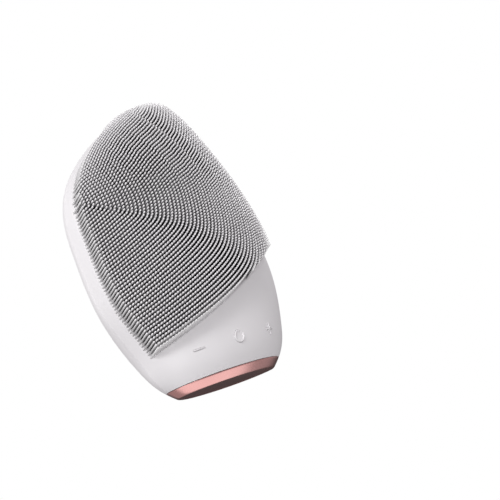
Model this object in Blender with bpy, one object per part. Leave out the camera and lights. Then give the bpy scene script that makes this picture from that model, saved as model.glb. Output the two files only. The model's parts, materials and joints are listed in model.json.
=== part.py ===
"""Facial cleansing brush: a leaf-shaped silicone device that stands on a metal-coated end cap.

Frame: metres, +Z up from the flat end cap to the tip, -Y is the bristle side, +X is on the right
when looking at the bristles. The origin is the middle of the end cap's flat face.
Lengths below are in millimetres; MM turns them into metres when a mesh is made.
"""
import math

import bmesh
import bpy
import numpy as np
from mathutils import Vector

MM = 0.001

# ---- driving dimensions ----
HEIGHT = 110.0
STATIONS = (0, 3, 14, 34, 60, 86, 110)             # heights where the sections below are given
HALF_WIDTH = (23.2, 26.8, 33.2, 40, 40, 32, 8.5)
FRONT_DEPTH = (9, 11.8, 16.4, 18, 17.4, 13.6, 5.5)
BACK_DEPTH = (9, 11.2, 19.2, 19.8, 18.2, 13.8, 3.5)
CENTRE_X = (0, 0.2, 1.4, 1.6, 1.8, 3.4, 15.6)      # the tip leans to +X
RIM_Y = (0, 0.1, 0.8, 1.6, 3.0, 4.0, 6.5)          # where the front half meets the back half
NOSE_STATION = 108.0                               # the last width and depths are those at this height
DOME_ROUNDNESS = 0.993                             # 1 is a full ellipse; less leaves a soft crease

SKIN = 1.8                                         # silicone thickness
HOUSING_OUT, HOUSING_IN = 2.3, 3.6                 # inner housing, measured in from the outside
GAP = 0.3                                          # clearance between touching pieces
SKIN_BOTTOM, HOUSING_BOTTOM = 3.3, 3.7
HALF_GASKET = 0.5

CREST_POLE = (-41.5, 101.7)                        # the back's wave crests shrink towards this point
CREST_CENTRE = (-35.0, 65.0)
CREST_AXES = (67.0, 47.0, 69.0)                    # outermost crest: to +X, down, up
CREST_RATIO = 0.82
CREST_COUNT = 6
WAVE_DEPTH = 0.9

BRISTLE_LENGTH = 5.8
BRISTLE_TILT = 0.29                                # radians above the -Y direction
FIELD_LEFT, FIELD_RIGHT, FIELD_TOP = -0.955, 0.935, 107.3
FIELD_GAP = 0.5                                    # between the skin and the envelope of its bristles

BUTTON_Z, BUTTON_PITCH = 12.24, 16.84
BUTTON_RAISE, BUTTON_DEPTH = 0.35, 1.8
SYMBOL_HALF, SYMBOL_LINE = 2.1, 0.45               # half length and half thickness of - and +
RING_OUTER, RING_INNER = 2.22, 1.72
STEM_RADIUS, STEM_HOLE = 0.4, 0.8
FOOT_RADIUS = 1.3

BOARD_FRONT, BOARD_BACK = -2.0, -0.8
BOARD_HALF, BOARD_Z = 20.0, (7.5, 52.0)
CHASSIS_FRONT, CHASSIS_BACK = -0.3, 1.2
SWITCH_FRONT = -5.2
MOTOR_AXIS = (0.0, 3.5)
MOTOR_RADIUS, MOTOR_Z = 6.0, (66.0, 84.0)
SLEEVE_IN, SLEEVE_OUT = 6.3, 8.0

PIN_X, PIN_Z, PIN_RADIUS = 4.71, 7.72, 1.5
PIN_RECESS, PIN_HOLE = 2.53, 1.9
PIN_SLOPE = math.radians(38)


# ---- numbers and outlines ----
def spline(xs, ys):
    """Natural cubic spline through the stations."""
    xs, ys = np.array(xs, float), np.array(ys, float)
    count, step = len(xs), np.diff(xs)
    matrix, right = np.eye(count), np.zeros(count)
    for i in range(1, count - 1):
        matrix[i, i - 1:i + 2] = step[i - 1], 2 * (step[i - 1] + step[i]), step[i]
        right[i] = 6 * ((ys[i + 1] - ys[i]) / step[i] - (ys[i] - ys[i - 1]) / step[i - 1])
    bend = np.linalg.solve(matrix, right)

    def value(x):
        i = int(np.clip(np.searchsorted(xs, x) - 1, 0, count - 2))
        a, b, h = xs[i + 1] - x, x - xs[i], step[i]
        cubic = (bend[i] * a ** 3 + bend[i + 1] * b ** 3) / (6 * h)
        linear = (ys[i] / h - bend[i] * h / 6) * a + (ys[i + 1] / h - bend[i + 1] * h / 6) * b
        return float(cubic + linear)
    return value


def nose(z):
    return math.sqrt(max(0.0, 1 - z / HEIGHT))


def nose_spline(values):
    """Spline of a size that closes to nothing, roundly, at the tip."""
    heights = STATIONS[:-1] + (NOSE_STATION,)
    ratio = spline(heights, [v / nose(z) for v, z in zip(values, heights)])
    return lambda z: ratio(z) * nose(z)


half_width = nose_spline(HALF_WIDTH)
depth_of = {-1: nose_spline(FRONT_DEPTH), 1: nose_spline(BACK_DEPTH)}
centre_x = spline(STATIONS, CENTRE_X)
rim_y = spline(STATIONS, RIM_Y)


def dome(u):
    """Depth of a section across its width: 1 in the middle, 0 at the rim, with a soft crease there."""
    edge = math.sqrt(1 - DOME_ROUNDNESS ** 2)
    height = math.sqrt(max(0.0, 1 - (DOME_ROUNDNESS * u) ** 2))
    return max(0.0, (height - edge) / (1 - edge))


def surface_y(x, z, side):
    """The outer surface; side -1 is the bristle side and +1 the back."""
    u = min(1.0, max(-1.0, (x - centre_x(z)) / half_width(z)))
    return rim_y(z) + side * depth_of[side](z) * dome(u)


def smooth(value):
    value = min(1.0, max(0.0, value))
    return value * value * (3 - 2 * value)


def crest_number(x, z):
    """0 on the outermost crest, 1 on the next one in, negative outside them all."""
    px, pz = CREST_POLE[0] - CREST_CENTRE[0], CREST_POLE[1] - CREST_CENTRE[1]
    dx, dz = x - CREST_POLE[0], z - CREST_POLE[1]
    reach, down, up = CREST_AXES
    for vertical in (down, up):
        a = (dx / reach) ** 2 + (dz / vertical) ** 2
        b = 2 * (px * dx / reach ** 2 + pz * dz / vertical ** 2)
        c = (px / reach) ** 2 + (pz / vertical) ** 2 - 1
        t = (-b + math.sqrt(b * b - 4 * a * c)) / (2 * max(a, 1e-9))
        if (pz + dz * t < 0) == (vertical == down):
            break
    return -math.log(max(t, 1e-6)) / math.log(CREST_RATIO)


def wave_depth(x, z):
    """How far the back's wave valleys are cut in, in mm: deepest just outside each crest."""
    number = crest_number(x, z)
    if number > CREST_COUNT - 1:
        return 0.0
    if number < 0:
        rise = 1 + number / 0.7
    else:
        rise = number - math.floor(number)
    u = (x - centre_x(z)) / half_width(z)
    fade = smooth((u + 0.95) / 0.4) * smooth((HEIGHT - 6 - z) / 14)
    return WAVE_DEPTH * fade * max(0.0, rise) ** 1.4 * smooth((1 - rise) / 0.12)


def layer_point(u, height, side, inset, half_gap):
    """A point of the shell that lies inset mm inside the outer surface, at the given height."""
    middle = HEIGHT / 2
    z = middle + (height - middle) / (1 - inset / middle)
    wide, deep = 1 - inset / max(HALF_WIDTH), 1 - inset / max(FRONT_DEPTH)
    depth = half_gap + max(0.0, deep * depth_of[side](z) - half_gap) * dome(u)
    return (centre_x(z) + wide * half_width(z) * u, rim_y(z) + side * depth, height)


def layer_rows(bottom, inset, rows):
    """Heights from the bottom to just under the tip, closing up towards it."""
    top = HEIGHT - inset
    return [bottom + (top - bottom) * math.sin(math.pi / 2 * i / rows) for i in range(rows)]


def lens(z, wide, deep, sides=48):
    """A level section of the body, scaled in width and depth."""
    points = []
    for i in range(sides):
        angle = 2 * math.pi * i / sides
        u, side = math.cos(angle), (1 if math.sin(angle) > 0 else -1)
        depth = deep * depth_of[side](z) * dome(u)
        points.append((centre_x(z) + wide * half_width(z) * u, rim_y(z) + side * depth))
    return points


def capsule(half_length, half_line, steps=6):
    """Outline of a rounded bar along X."""
    straight = half_length - half_line
    points = []
    for end in (0, math.pi):
        for i in range(steps + 1):
            angle = end - math.pi / 2 + math.pi * i / steps
            middle = straight if end == 0 else -straight
            points.append((middle + half_line * math.cos(angle), half_line * math.sin(angle)))
    return points


def cross(half_length, half_line):
    """Outline of a plus sign."""
    a, b = half_length, half_line
    quarter = [(a, -b), (a, b), (b, b)]
    points = []
    for turn in range(4):
        for x, z in quarter:
            for _ in range(turn):
                x, z = -z, x
            points.append((x, z))
    return points


def circle(radius, sides=32):
    return [(radius * math.cos(2 * math.pi * i / sides), radius * math.sin(2 * math.pi * i / sides))
            for i in range(sides)]


# ---- meshes ----
def material(name, colour, roughness, metallic=0.0):
    made = bpy.data.materials.new(name)
    made.use_nodes = True
    shader = made.node_tree.nodes["Principled BSDF"]
    shader.inputs["Base Color"].default_value = (*colour, 1)
    shader.inputs["Roughness"].default_value = roughness
    shader.inputs["Metallic"].default_value = metallic
    return made


def add_object(name, points, faces, finish, origin=(0, 0, 0)):
    """One closed body from points in mm; origin, also in mm, becomes the object's own origin."""
    mesh = bpy.data.meshes.new(name)
    shift = Vector(origin)
    mesh.from_pydata([(Vector(p) - shift) * MM for p in points], [], faces)
    work = bmesh.new()
    work.from_mesh(mesh)
    bmesh.ops.remove_doubles(work, verts=work.verts, dist=1e-6)
    bmesh.ops.recalc_face_normals(work, faces=work.faces)
    work.to_mesh(mesh)
    work.free()
    mesh.shade_smooth()
    mesh.set_sharp_from_angle(angle=math.radians(35))
    made = bpy.data.objects.new(name, mesh)
    made.location = shift * MM
    bpy.context.collection.objects.link(made)
    mesh.materials.append(finish)
    return made


def loft(name, rings, finish, origin=(0, 0, 0)):
    """Bridge rings of equal length in order and cap both ends."""
    size = len(rings[0])
    points = [p for ring in rings for p in ring]
    faces = []
    for r in range(len(rings) - 1):
        for i in range(size):
            j = (i + 1) % size
            faces.append((r * size + i, r * size + j, (r + 1) * size + j, (r + 1) * size + i))
    faces.append(tuple(range(size)))
    faces.append(tuple(range(len(points) - size, len(points))))
    return add_object(name, points, faces, finish, origin)


def turned(name, profile, base, direction, finish, origin=(0, 0, 0), sides=24):
    """Turn a profile of (radius, distance) pairs about a line; the first and last are capped."""
    axis = Vector(direction).normalized()
    across = axis.orthogonal().normalized()
    other = axis.cross(across)
    rings = []
    for radius, distance in profile:
        middle = Vector(base) + axis * distance
        rings.append([middle + across * x + other * y for x, y in circle(radius, sides)])
    return loft(name, rings, finish, origin)


def ring_piece(name, inner, outer, start, end, base, direction, finish, sides=32):
    """A plain sleeve or seal: a rectangle turned about a line."""
    axis = Vector(direction).normalized()
    across = axis.orthogonal().normalized()
    other = axis.cross(across)
    corners = [(inner, start), (outer, start), (outer, end), (inner, end)]
    points = []
    for radius, distance in corners:
        middle = Vector(base) + axis * distance
        points += [middle + across * x + other * y for x, y in circle(radius, sides)]
    faces = []
    for c in range(4):
        d = (c + 1) % 4
        for i in range(sides):
            j = (i + 1) % sides
            faces.append((c * sides + i, c * sides + j, d * sides + j, d * sides + i))
    return add_object(name, points, faces, finish)


def box(name, low, high, finish):
    (x0, y0, z0), (x1, y1, z1) = low, high
    rings = [[(x0, y0, z), (x1, y0, z), (x1, y1, z), (x0, y1, z)] for z in (z0, z1)]
    return loft(name, rings, finish)


def plate(name, outline, front, back, finish):
    """An outline in X and Z, extruded along Y."""
    return loft(name, [[(x, y, z) for x, z in outline] for y in (front, back)], finish)


def on_surface(outline, x0, z0, offset):
    """An outline placed on the bristle side, offset mm behind the surface."""
    return [(x0 + x, surface_y(x0 + x, z0 + z, -1) + offset, z0 + z) for x, z in outline]


def boolean(target, tool, operation):
    """Cut or join with another object, which is then only a guide."""
    tool.hide_render = True
    tool.display_type = "WIRE"
    step = target.modifiers.new(tool.name, "BOOLEAN")
    step.operation = operation
    step.object = tool
    step.solver = "EXACT"


def wire(name, route, radius, finish):
    """A lead along a smooth curve through the route's points."""
    points = [Vector(p) for p in route]
    ends = [2 * points[0] - points[1]] + points + [2 * points[-1] - points[-2]]
    smooth_points = []
    for i in range(1, len(ends) - 2):
        a, b, c, d = ends[i - 1:i + 3]
        for t in (0.0, 1 / 3, 2 / 3):
            smooth_points.append(0.5 * (2 * b + (c - a) * t + (2 * a - 5 * b + 4 * c - d) * t ** 2
                                        + (3 * b - 3 * c + d - a) * t ** 3))
    smooth_points.append(points[-1])
    curve = bpy.data.curves.new(name, "CURVE")
    curve.dimensions = "3D"
    curve.bevel_depth = radius * MM
    curve.bevel_resolution = 2
    curve.use_fill_caps = True
    line = curve.splines.new("POLY")
    line.points.add(len(smooth_points) - 1)
    for target, point in zip(line.points, smooth_points):
        target.co = (*(point * MM), 1)
    curve.materials.append(finish)
    made = bpy.data.objects.new(name, curve)
    bpy.context.collection.objects.link(made)


# ---- sub-parts: shells ----
def half_shell(name, side, outer, inner, half_gap, bottom, grid, finish, relief=None):
    """Half of a nested shell: outer and inner surfaces joined at the rim and at the bottom."""
    rows, columns = grid
    span = columns + 1
    points, faces = [], []
    for inset in (outer, inner):
        for height in layer_rows(bottom, inset, rows):
            for c in range(span):
                u = math.sin(math.pi * (c / columns - 0.5))
                x, y, z = layer_point(u, height, side, inset, half_gap)
                if relief and inset == outer:
                    y -= side * relief(x, z)
                points.append((x, y, z))
        points.append(layer_point(0, HEIGHT - inset, side, inset, half_gap))
    block = rows * span + 1
    for start in (0, block):
        for r in range(rows - 1):
            for c in range(columns):
                a = start + r * span + c
                faces.append((a, a + 1, a + 1 + span, a + span))
        last = start + (rows - 1) * span
        faces += [(last + c, last + c + 1, start + block - 1) for c in range(columns)]
    for c in range(columns):
        faces.append((c, c + 1, block + c + 1, block + c))
    for edge in (0, columns):
        for r in range(rows - 1):
            a = r * span + edge
            faces.append((a, a + span, block + a + span, block + a))
        a = (rows - 1) * span + edge
        faces.append((a, block - 1, 2 * block - 1, block + a))
    return add_object(name, points, faces, finish)


def make_gasket(finish):
    """A flat band between the housings' rims, up one side, over the tip and down the other."""
    rows = 22
    corners = []
    for side_u in (-1, 1):
        stations = []
        for i in range(rows + (side_u < 0)):
            share = math.sin(math.pi / 2 * i / rows)
            station = []
            for inset in (HOUSING_OUT, HOUSING_IN):
                height = HOUSING_BOTTOM + (HEIGHT - inset - HOUSING_BOTTOM) * share
                x, y, z = layer_point(side_u, height, 1, inset, 0)
                station += [(x, y - HALF_GASKET, z), (x, y + HALF_GASKET, z)]
            stations.append([station[0], station[1], station[3], station[2]])
        corners += stations if side_u < 0 else stations[::-1]
    return loft("housing_gasket", corners, finish)


def make_bristle_field(finish):
    """Plain envelope of the bristles: the field's base and the same surface one bristle further out."""
    rows, columns = 20, 20
    reach = (0, -BRISTLE_LENGTH * math.cos(BRISTLE_TILT), BRISTLE_LENGTH * math.sin(BRISTLE_TILT))
    span = columns + 1
    start, turn = math.asin(FIELD_LEFT), math.asin(FIELD_RIGHT) - math.asin(FIELD_LEFT)
    points, faces = [], []
    for outward in (0, 1):
        for r in range(rows + 1):
            for c in range(span):
                u = math.sin(start + turn * c / columns)
                low = field_bottom(u)
                z = low + (FIELD_TOP - low) * math.sin(math.pi / 2 * r / rows)
                x, y, z = layer_point(u, z, -1, -FIELD_GAP, 0)
                points.append((x, y + outward * reach[1], z + outward * reach[2]))
    block = (rows + 1) * span
    for start in (0, block):
        for r in range(rows):
            for c in range(columns):
                a = start + r * span + c
                faces.append((a, a + 1, a + 1 + span, a + span))
    for edge in (0, rows * span):
        faces += [(edge + c, edge + c + 1, block + edge + c + 1, block + edge + c) for c in range(columns)]
    for edge in (0, columns):
        for r in range(rows):
            a = r * span + edge
            faces.append((a, a + span, block + a + span, block + a))
    return add_object("bristle_field", points, faces, finish)


def field_bottom(u):
    """Height of the bristle field's lower edge across the front: it rises to the right."""
    return 26 + 15.3 * u + 3.55 * u * u


def make_skins(silicone):
    front = half_shell("front_skin", -1, 0, SKIN, GAP / 2, SKIN_BOTTOM, (24, 20), silicone)
    for name, outline in symbol_outlines(GAP).items():
        x0 = button_x(name)
        hole = loft(name + "_hole", [[(x0 + x, y, BUTTON_Z + z) for x, z in outline] for y in (-25, -6)],
                    silicone)
        boolean(front, hole, "DIFFERENCE")
    back = half_shell("back_skin", 1, 0, SKIN, GAP / 2, SKIN_BOTTOM, (34, 26), silicone, wave_depth)
    for side in (-1, 1):
        base, out = pin_frame(side)
        tool = turned(f"recess_{side + 1}", [(PIN_RECESS, -6), (PIN_RECESS, 4)], base, out, silicone)
        boolean(back, tool, "DIFFERENCE")


def make_housings(plastic):
    grid = (22, 16)
    halves = {}
    for name, side in (("front_housing", -1), ("back_housing", 1)):
        halves[side] = half_shell(name, side, HOUSING_OUT, HOUSING_IN, HALF_GASKET + GAP, HOUSING_BOTTOM,
                                  grid, plastic)
    for name in ("minus", "power", "plus"):
        base = (button_x(name), -25, BUTTON_Z)
        tool = turned(name + "_bore", [(STEM_HOLE, 0), (STEM_HOLE, 19)], base, (0, 1, 0), plastic, sides=16)
        boolean(halves[-1], tool, "DIFFERENCE")
    for side in (-1, 1):
        base, out = pin_frame(side)
        tool = turned(f"pin_bore_{side + 1}", [(PIN_HOLE, -9), (PIN_HOLE, 2)], base, out, plastic)
        boolean(halves[1], tool, "DIFFERENCE")


def make_end_cap(coated):
    """A shallow cup; its rim takes the retainer."""
    rings = []
    for z, scale in ((0, 0.985), (0.3, 1), (1.6, 1), (3.0, 1), (3.0, 0.84), (1.2, 0.82)):
        rings.append([(x, y, z) for x, y in lens(z, scale, scale)])
    loft("end_cap", rings, coated)


def make_cap_retainer(plastic):
    """Fills the cap's cup and plugs the bottom of the housings."""
    rings = []
    for z, wide, deep in ((1.5, 0.78, 0.78), (3.1, 0.78, 0.78), (3.1, 0.68, 0.45), (6.2, 0.62, 0.38)):
        rings.append([(x, y, z) for x, y in lens(z, wide, deep)])
    loft("cap_retainer", rings, plastic)


# ---- sub-parts: buttons and switches ----
def button_x(name):
    return {"minus": -BUTTON_PITCH, "power": 0.0, "plus": BUTTON_PITCH}[name]


def symbol_outlines(margin):
    """Outlines of the three raised signs, grown by a margin."""
    half, line = SYMBOL_HALF + margin, SYMBOL_LINE + margin
    return {"minus": capsule(half, line), "power": circle(RING_OUTER + margin), "plus": cross(half, line)}


def make_buttons(silicone):
    outlines = symbol_outlines(0)
    foot_front, foot_back = SWITCH_FRONT - 2.1, SWITCH_FRONT - 1.4
    for name, outline in outlines.items():
        x0 = button_x(name)
        origin = (x0, surface_y(x0, BUTTON_Z, -1), BUTTON_Z)
        if name == "power":
            steps = ((0.3, 0), (RING_INNER, 0), (RING_INNER, -BUTTON_RAISE), (RING_OUTER, -BUTTON_RAISE),
                     (RING_OUTER, BUTTON_DEPTH))
            rings = [on_surface(circle(r), x0, BUTTON_Z, offset) for r, offset in steps]
        else:
            rings = [on_surface(outline, x0, BUTTON_Z, offset) for offset in (-BUTTON_RAISE, BUTTON_DEPTH)]
        button = loft(name + "_button", rings, silicone, origin)
        top = origin[1] + BUTTON_DEPTH / 2
        profile = [(STEM_RADIUS, top), (STEM_RADIUS, foot_front), (FOOT_RADIUS, foot_front),
                   (FOOT_RADIUS, foot_back)]
        stem = turned(name + "_stem", profile, (x0, 0, BUTTON_Z), (0, 1, 0), silicone)
        boolean(button, stem, "UNION")


def make_switches(plastic, metal):
    """Tactile switches on the board: a body with a blind hole and the plunger that slides in it."""
    half = 2.25
    for name in ("minus", "power", "plus"):
        x0 = button_x(name)
        body = box(name + "_switch", (x0 - half, SWITCH_FRONT, BUTTON_Z - half),
                   (x0 + half, BOARD_FRONT - GAP, BUTTON_Z + half), plastic)
        hole = turned(name + "_switch_hole", [(1.2, SWITCH_FRONT - 1), (1.2, SWITCH_FRONT + 2)],
                      (x0, 0, BUTTON_Z), (0, 1, 0), plastic, sides=20)
        boolean(body, hole, "DIFFERENCE")
        turned(name + "_plunger", [(0.9, SWITCH_FRONT - 1.1), (0.9, SWITCH_FRONT + 1)],
               (x0, 0, BUTTON_Z), (0, 1, 0), metal, origin=(x0, SWITCH_FRONT, BUTTON_Z), sides=20)


# ---- sub-parts: electronics ----
def make_board(board_green, plastic, led_white):
    low, high = BOARD_Z
    outline = [(-BOARD_HALF, low), (BOARD_HALF, low), (BOARD_HALF, high), (-BOARD_HALF, high)]
    board = plate("main_board", outline, BOARD_FRONT, BOARD_BACK, board_green)
    for i, (x, z) in enumerate(screw_places()):
        hole = turned(f"board_hole_{i}", [(1.0, BOARD_FRONT - 1), (1.0, BOARD_BACK + 1)], (x, 0, z), (0, 1, 0),
                      board_green, sides=16)
        boolean(board, hole, "DIFFERENCE")
    face = BOARD_FRONT - GAP
    box("controller_chip", (-3.5, face - 1.2, 30), (3.5, face, 37), plastic)
    box("charging_chip", (8, face - 1.0, 24), (12, face, 28), plastic)
    box("status_light", (-1.0, face - 0.8, 17.5), (1.0, face, 18.7), led_white)


def screw_places():
    return [(x, z) for z in (20.0, 46.0) for x in (-17.5, 17.5)]


def make_chassis(plastic):
    """Plate behind the board that carries the battery, with two arms for the motor cradle."""
    outline = [(-21, 15), (21, 15), (21, 60), (18, 64), (18, 81), (12, 81), (12, 60),
               (-12, 60), (-12, 81), (-18, 81), (-18, 64), (-21, 60)]
    chassis = plate("chassis", outline, CHASSIS_FRONT, CHASSIS_BACK, plastic)
    holes = screw_places() + cradle_screw_places()
    for i, (x, z) in enumerate(holes):
        hole = turned(f"chassis_hole_{i}", [(1.0, CHASSIS_FRONT - 1), (1.0, CHASSIS_BACK + 1)], (x, 0, z),
                      (0, 1, 0), plastic, sides=16)
        boolean(chassis, hole, "DIFFERENCE")


def cradle_screw_places():
    return [(-15.0, 75.0), (15.0, 75.0)]


def screw(name, x, z, head_face, direction, length, steel):
    """A small pan-head screw; its head stands GAP off the face that it clamps."""
    profile = [(0.9, GAP + 1.1), (1.35, GAP + 0.9), (1.5, GAP + 0.5), (1.5, GAP), (0.7, GAP), (0.7, -length)]
    turned(name, profile, (x, head_face, z), (0, direction, 0), steel, sides=16)


def make_screws(steel):
    for i, (x, z) in enumerate(screw_places()):
        screw(f"board_screw_{i + 1}", x, z, BOARD_FRONT, -1, 3.0, steel)
    for i, (x, z) in enumerate(cradle_screw_places()):
        screw(f"cradle_screw_{i + 1}", x, z, 3.5, 1, 3.6, steel)


def make_battery(foil, foam):
    low, high = (-16, 1.5, 17), (16, 8.5, 56)
    cell = box("battery", low, high, foil)
    edge = cell.modifiers.new("rounded", "BEVEL")
    edge.width = 1.5 * MM
    edge.segments = 2
    box("battery_foam", (-12, 8.8, 21), (12, 11.0, 52), foam)


# ---- sub-parts: motor ----
def make_motor(steel, rubber, plastic, brass):
    base = (*MOTOR_AXIS, 0)
    up = (0, 0, 1)
    low, high = MOTOR_Z
    profile = [(MOTOR_RADIUS - 0.5, low), (MOTOR_RADIUS, low + 0.5), (MOTOR_RADIUS, high - 0.6),
               (MOTOR_RADIUS - 0.6, high), (1.3, high), (1.3, high - 4)]
    turned("motor_can", profile, base, up, steel, sides=32)
    ring_piece("motor_sleeve", SLEEVE_IN, SLEEVE_OUT, low + 2, high - 2, base, up, rubber)
    turned("motor_shaft", [(1.0, high - 3.5), (1.0, high + 8.6)], base, up, steel, origin=base, sides=16)
    make_cradle(plastic)
    make_weight(brass, base)


def make_cradle(plastic):
    """Block round the motor sleeve, with a screw ear on each side that rests on the chassis arms."""
    x0, y0 = MOTOR_AXIS
    reach, ear = 10.6, 17.6
    front, back = CHASSIS_BACK + GAP, 3.5
    half = 9.4
    outline = [(-reach, y0 - half), (reach, y0 - half), (reach, front), (ear, front), (ear, back),
               (reach, back), (reach, y0 + half), (-reach, y0 + half), (-reach, back), (-ear, back),
               (-ear, front), (-reach, front)]
    cradle = loft("motor_cradle", [[(x, y, z) for x, y in outline] for z in (70.5, 79.5)], plastic)
    bore = turned("cradle_bore", [(SLEEVE_OUT + GAP, 68), (SLEEVE_OUT + GAP, 82)], (x0, y0, 0), (0, 0, 1),
                  plastic, sides=32)
    boolean(cradle, bore, "DIFFERENCE")
    for i, (x, z) in enumerate(cradle_screw_places()):
        hole = turned(f"cradle_hole_{i}", [(1.0, front - 1), (1.0, back + 1)], (x, 0, z), (0, 1, 0),
                      plastic, sides=16)
        boolean(cradle, hole, "DIFFERENCE")


def make_weight(brass, base):
    """Eccentric weight: a half disc with a small hub round the shaft."""
    steps, radius, hub = 16, 5.0, 2.2
    outline = [(radius * math.cos(math.pi * i / steps), radius * math.sin(math.pi * i / steps))
               for i in range(steps + 1)]
    outline += [(hub * math.cos(math.pi + math.pi * i / 8), hub * math.sin(math.pi + math.pi * i / 8))
                for i in range(9)]
    low, high = MOTOR_Z[1] + 1.5, MOTOR_Z[1] + 7.5
    rings = [[(base[0] + x, base[1] + y, z) for x, y in outline] for z in (low, high)]
    weight = loft("eccentric_weight", rings, brass, origin=base)
    bore = turned("weight_bore", [(1.0 + GAP, low - 1), (1.0 + GAP, high + 1)], base, (0, 0, 1), brass,
                  sides=20)
    boolean(weight, bore, "DIFFERENCE")


# ---- sub-parts: charging contacts and leads ----
def pin_frame(side):
    """Where a charging pin meets the back, and the direction that it faces."""
    base = (side * PIN_X, surface_y(side * PIN_X, PIN_Z, 1), PIN_Z)
    return base, (0, math.cos(PIN_SLOPE), -math.sin(PIN_SLOPE))


def make_contacts(metal, rubber, dark):
    for side, label in ((-1, "left"), (1, "right")):
        base, out = pin_frame(side)
        profile = [(1.1, -7), (1.1, -4.6), (PIN_RADIUS, -4.6), (PIN_RADIUS, -0.9), (PIN_RADIUS - 0.35, -0.6),
                   (0.5, -0.5)]
        turned("contact_pin_" + label, profile, base, out, metal)
        ring_piece("contact_seal_" + label, PIN_RADIUS + GAP, PIN_RECESS - GAP, -1.9, -1.1, base, out, rubber,
                   sides=24)
    box("charging_magnet", (-2.4, 6.5, 8.6), (2.4, 9.4, 12.4), dark)


def make_leads(red, black):
    routes = {
        "battery_lead": [(-6, 5, 56.4), (-6, 5, 59), (-6, 3, 61.6), (-6, 0.4, 62.2), (-6, -2.4, 60),
                         (-6, -3.3, 55), (-6, -3.3, 47)],
        "motor_lead": [(3, 3.5, 65.6), (3, 3.2, 64), (4, 0.4, 62.4), (5, -2.6, 59), (5, -3.3, 54),
                       (5, -3.3, 47)],
    }
    for name, route in routes.items():
        for label, shift, finish in (("red", 0, red), ("black", 1.6, black)):
            wire(f"{name}_{label}", [(x + shift, y, z) for x, y, z in route], 0.5, finish)
    for label, side, finish in (("red", -1, red), ("black", 1, black)):
        base, out = pin_frame(side)
        start = Vector(base) - (7 + 1) * Vector(out)
        x = side * PIN_X
        wire("charging_lead_" + label, [start, (x, 6.5, 13.4), (x, 3.2, 12.4), (x, 0.0, 11)], 0.5, finish)


def main():
    for old in list(bpy.data.objects):
        bpy.data.objects.remove(old)
    silicone = material("silicone", (0.86, 0.85, 0.87), 0.42)
    coated = material("rose_gold", (0.78, 0.52, 0.47), 0.28, 1.0)
    plastic = material("inner_plastic", (0.75, 0.75, 0.77), 0.5)
    dark = material("dark_plastic", (0.05, 0.05, 0.055), 0.45)
    steel = material("steel", (0.6, 0.6, 0.62), 0.3, 1.0)
    contact = material("contact_metal", (0.3, 0.29, 0.3), 0.2, 1.0)
    brass = material("brass", (0.72, 0.55, 0.3), 0.3, 1.0)
    rubber = material("rubber", (0.12, 0.12, 0.125), 0.7)
    board_green = material("board_green", (0.05, 0.25, 0.13), 0.4)
    foil = material("battery_foil", (0.55, 0.57, 0.62), 0.35, 0.6)
    foam = material("foam", (0.15, 0.15, 0.16), 0.9)
    led_white = material("led_white", (0.9, 0.9, 0.85), 0.2)
    red = material("lead_red", (0.65, 0.05, 0.04), 0.45)
    black = material("lead_black", (0.03, 0.03, 0.03), 0.45)

    make_skins(silicone)
    make_bristle_field(silicone)
    make_buttons(silicone)
    make_end_cap(coated)
    make_cap_retainer(plastic)
    make_housings(plastic)
    make_gasket(rubber)
    make_switches(dark, steel)
    make_board(board_green, dark, led_white)
    make_chassis(plastic)
    make_battery(foil, foam)
    make_motor(steel, rubber, plastic, brass)
    make_screws(steel)
    make_contacts(contact, rubber, dark)
    make_leads(red, black)


main()
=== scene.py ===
"""Looks of the facial cleansing brush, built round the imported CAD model.

Lengths are in millimetres in the CAD model's own frame (+Z up, -Y is the bristle side); MM turns them
into metres when a mesh is made.
"""
import json
import math

import bmesh
import bpy
import numpy as np
from mathutils import Matrix, Vector


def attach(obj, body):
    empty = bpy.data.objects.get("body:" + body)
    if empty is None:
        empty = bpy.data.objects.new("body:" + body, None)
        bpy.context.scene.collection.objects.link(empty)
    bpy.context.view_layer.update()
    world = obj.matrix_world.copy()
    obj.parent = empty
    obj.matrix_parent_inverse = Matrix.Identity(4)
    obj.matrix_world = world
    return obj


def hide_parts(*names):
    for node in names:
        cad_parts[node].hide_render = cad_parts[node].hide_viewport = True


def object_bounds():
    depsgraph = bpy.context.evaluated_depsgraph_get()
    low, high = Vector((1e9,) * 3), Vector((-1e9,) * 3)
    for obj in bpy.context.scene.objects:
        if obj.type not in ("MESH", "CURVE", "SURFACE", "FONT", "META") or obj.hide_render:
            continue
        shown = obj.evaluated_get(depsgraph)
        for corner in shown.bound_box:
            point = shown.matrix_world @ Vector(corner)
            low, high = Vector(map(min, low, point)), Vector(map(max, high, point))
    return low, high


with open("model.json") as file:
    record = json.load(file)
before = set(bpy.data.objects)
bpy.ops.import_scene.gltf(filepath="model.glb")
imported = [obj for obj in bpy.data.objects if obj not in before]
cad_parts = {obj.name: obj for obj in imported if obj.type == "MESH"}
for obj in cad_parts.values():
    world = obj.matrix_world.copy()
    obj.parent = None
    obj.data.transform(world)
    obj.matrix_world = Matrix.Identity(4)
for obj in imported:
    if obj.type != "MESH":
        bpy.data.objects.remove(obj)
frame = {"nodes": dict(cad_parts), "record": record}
cad_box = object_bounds()

MM = 0.001
HEIGHT = cad_box[1][2] / MM

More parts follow.
